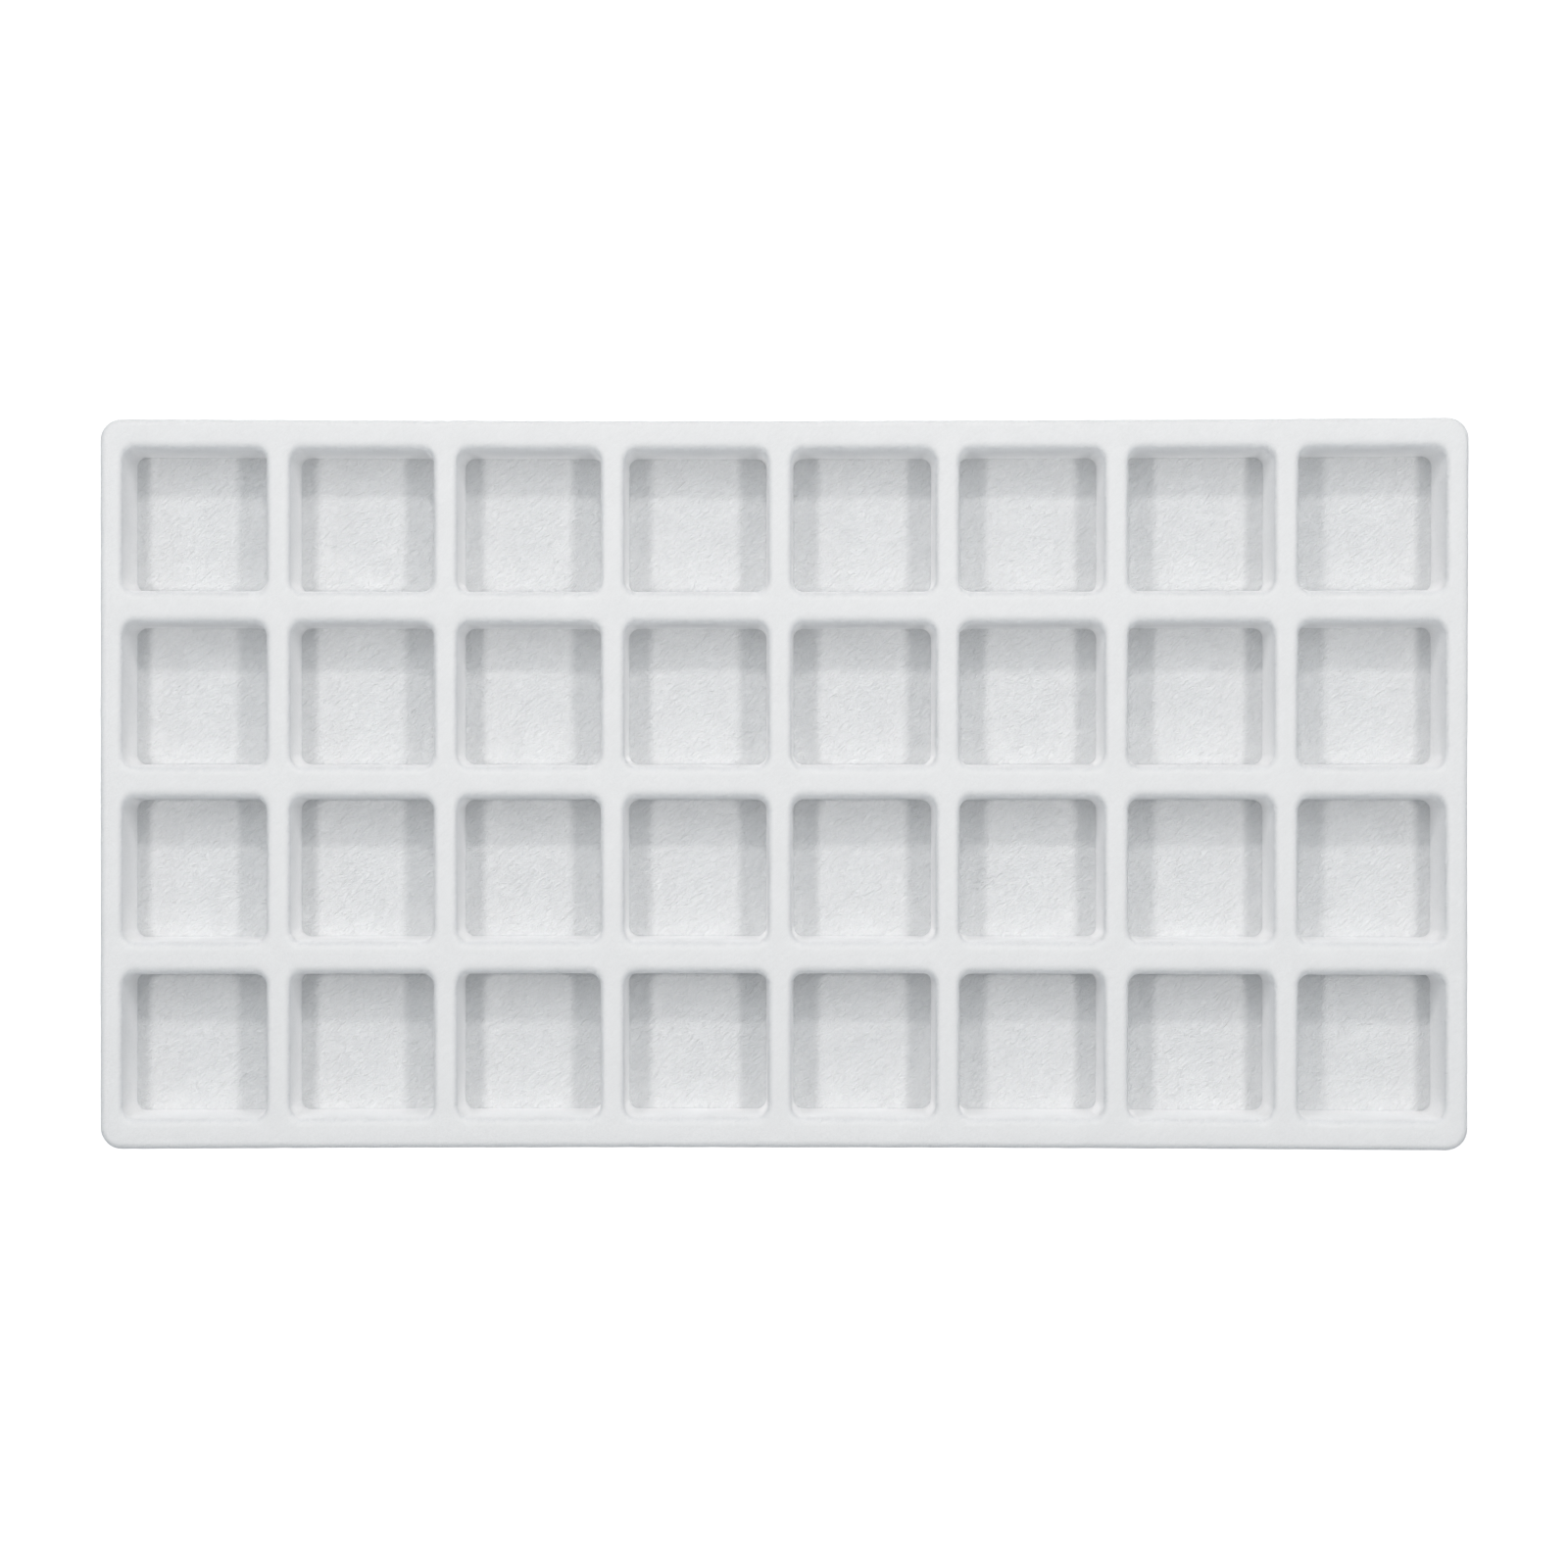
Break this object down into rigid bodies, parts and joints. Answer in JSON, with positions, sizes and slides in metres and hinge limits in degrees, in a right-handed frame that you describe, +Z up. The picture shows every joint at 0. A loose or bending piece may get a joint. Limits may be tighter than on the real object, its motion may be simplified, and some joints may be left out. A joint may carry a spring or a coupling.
{
  "type": "compartment tray liner",
  "caption": "Shallow rectangular flocked tray liner with a grid of square flat-bottomed pockets and a short turned-down skirt, to drop into a display tray.",
  "frame": {"origin": "centre of the footprint, level with the undersides of the pockets, on which the liner rests", "axes": "+X along the long side, +Y along the short side, +Z up, out of the pockets"},
  "size_m": [0.3594, 0.192, 0.0222],
  "materials": {
    "formed_plastic": "white thermoformed sheet, satin and bare on its underside and cut edge",
    "flock_adhesive": "thin milky film, seen only in the cut edge of the skirt",
    "white_flock": "short dense velvety pile with a soft brushed mottle, no gloss"
  },
  "bodies": {
    "root": {"carrier_sheet": "formed_plastic", "adhesive_film": "flock_adhesive", "flock_pile": "white_flock"}
  },
  "joints": []
}
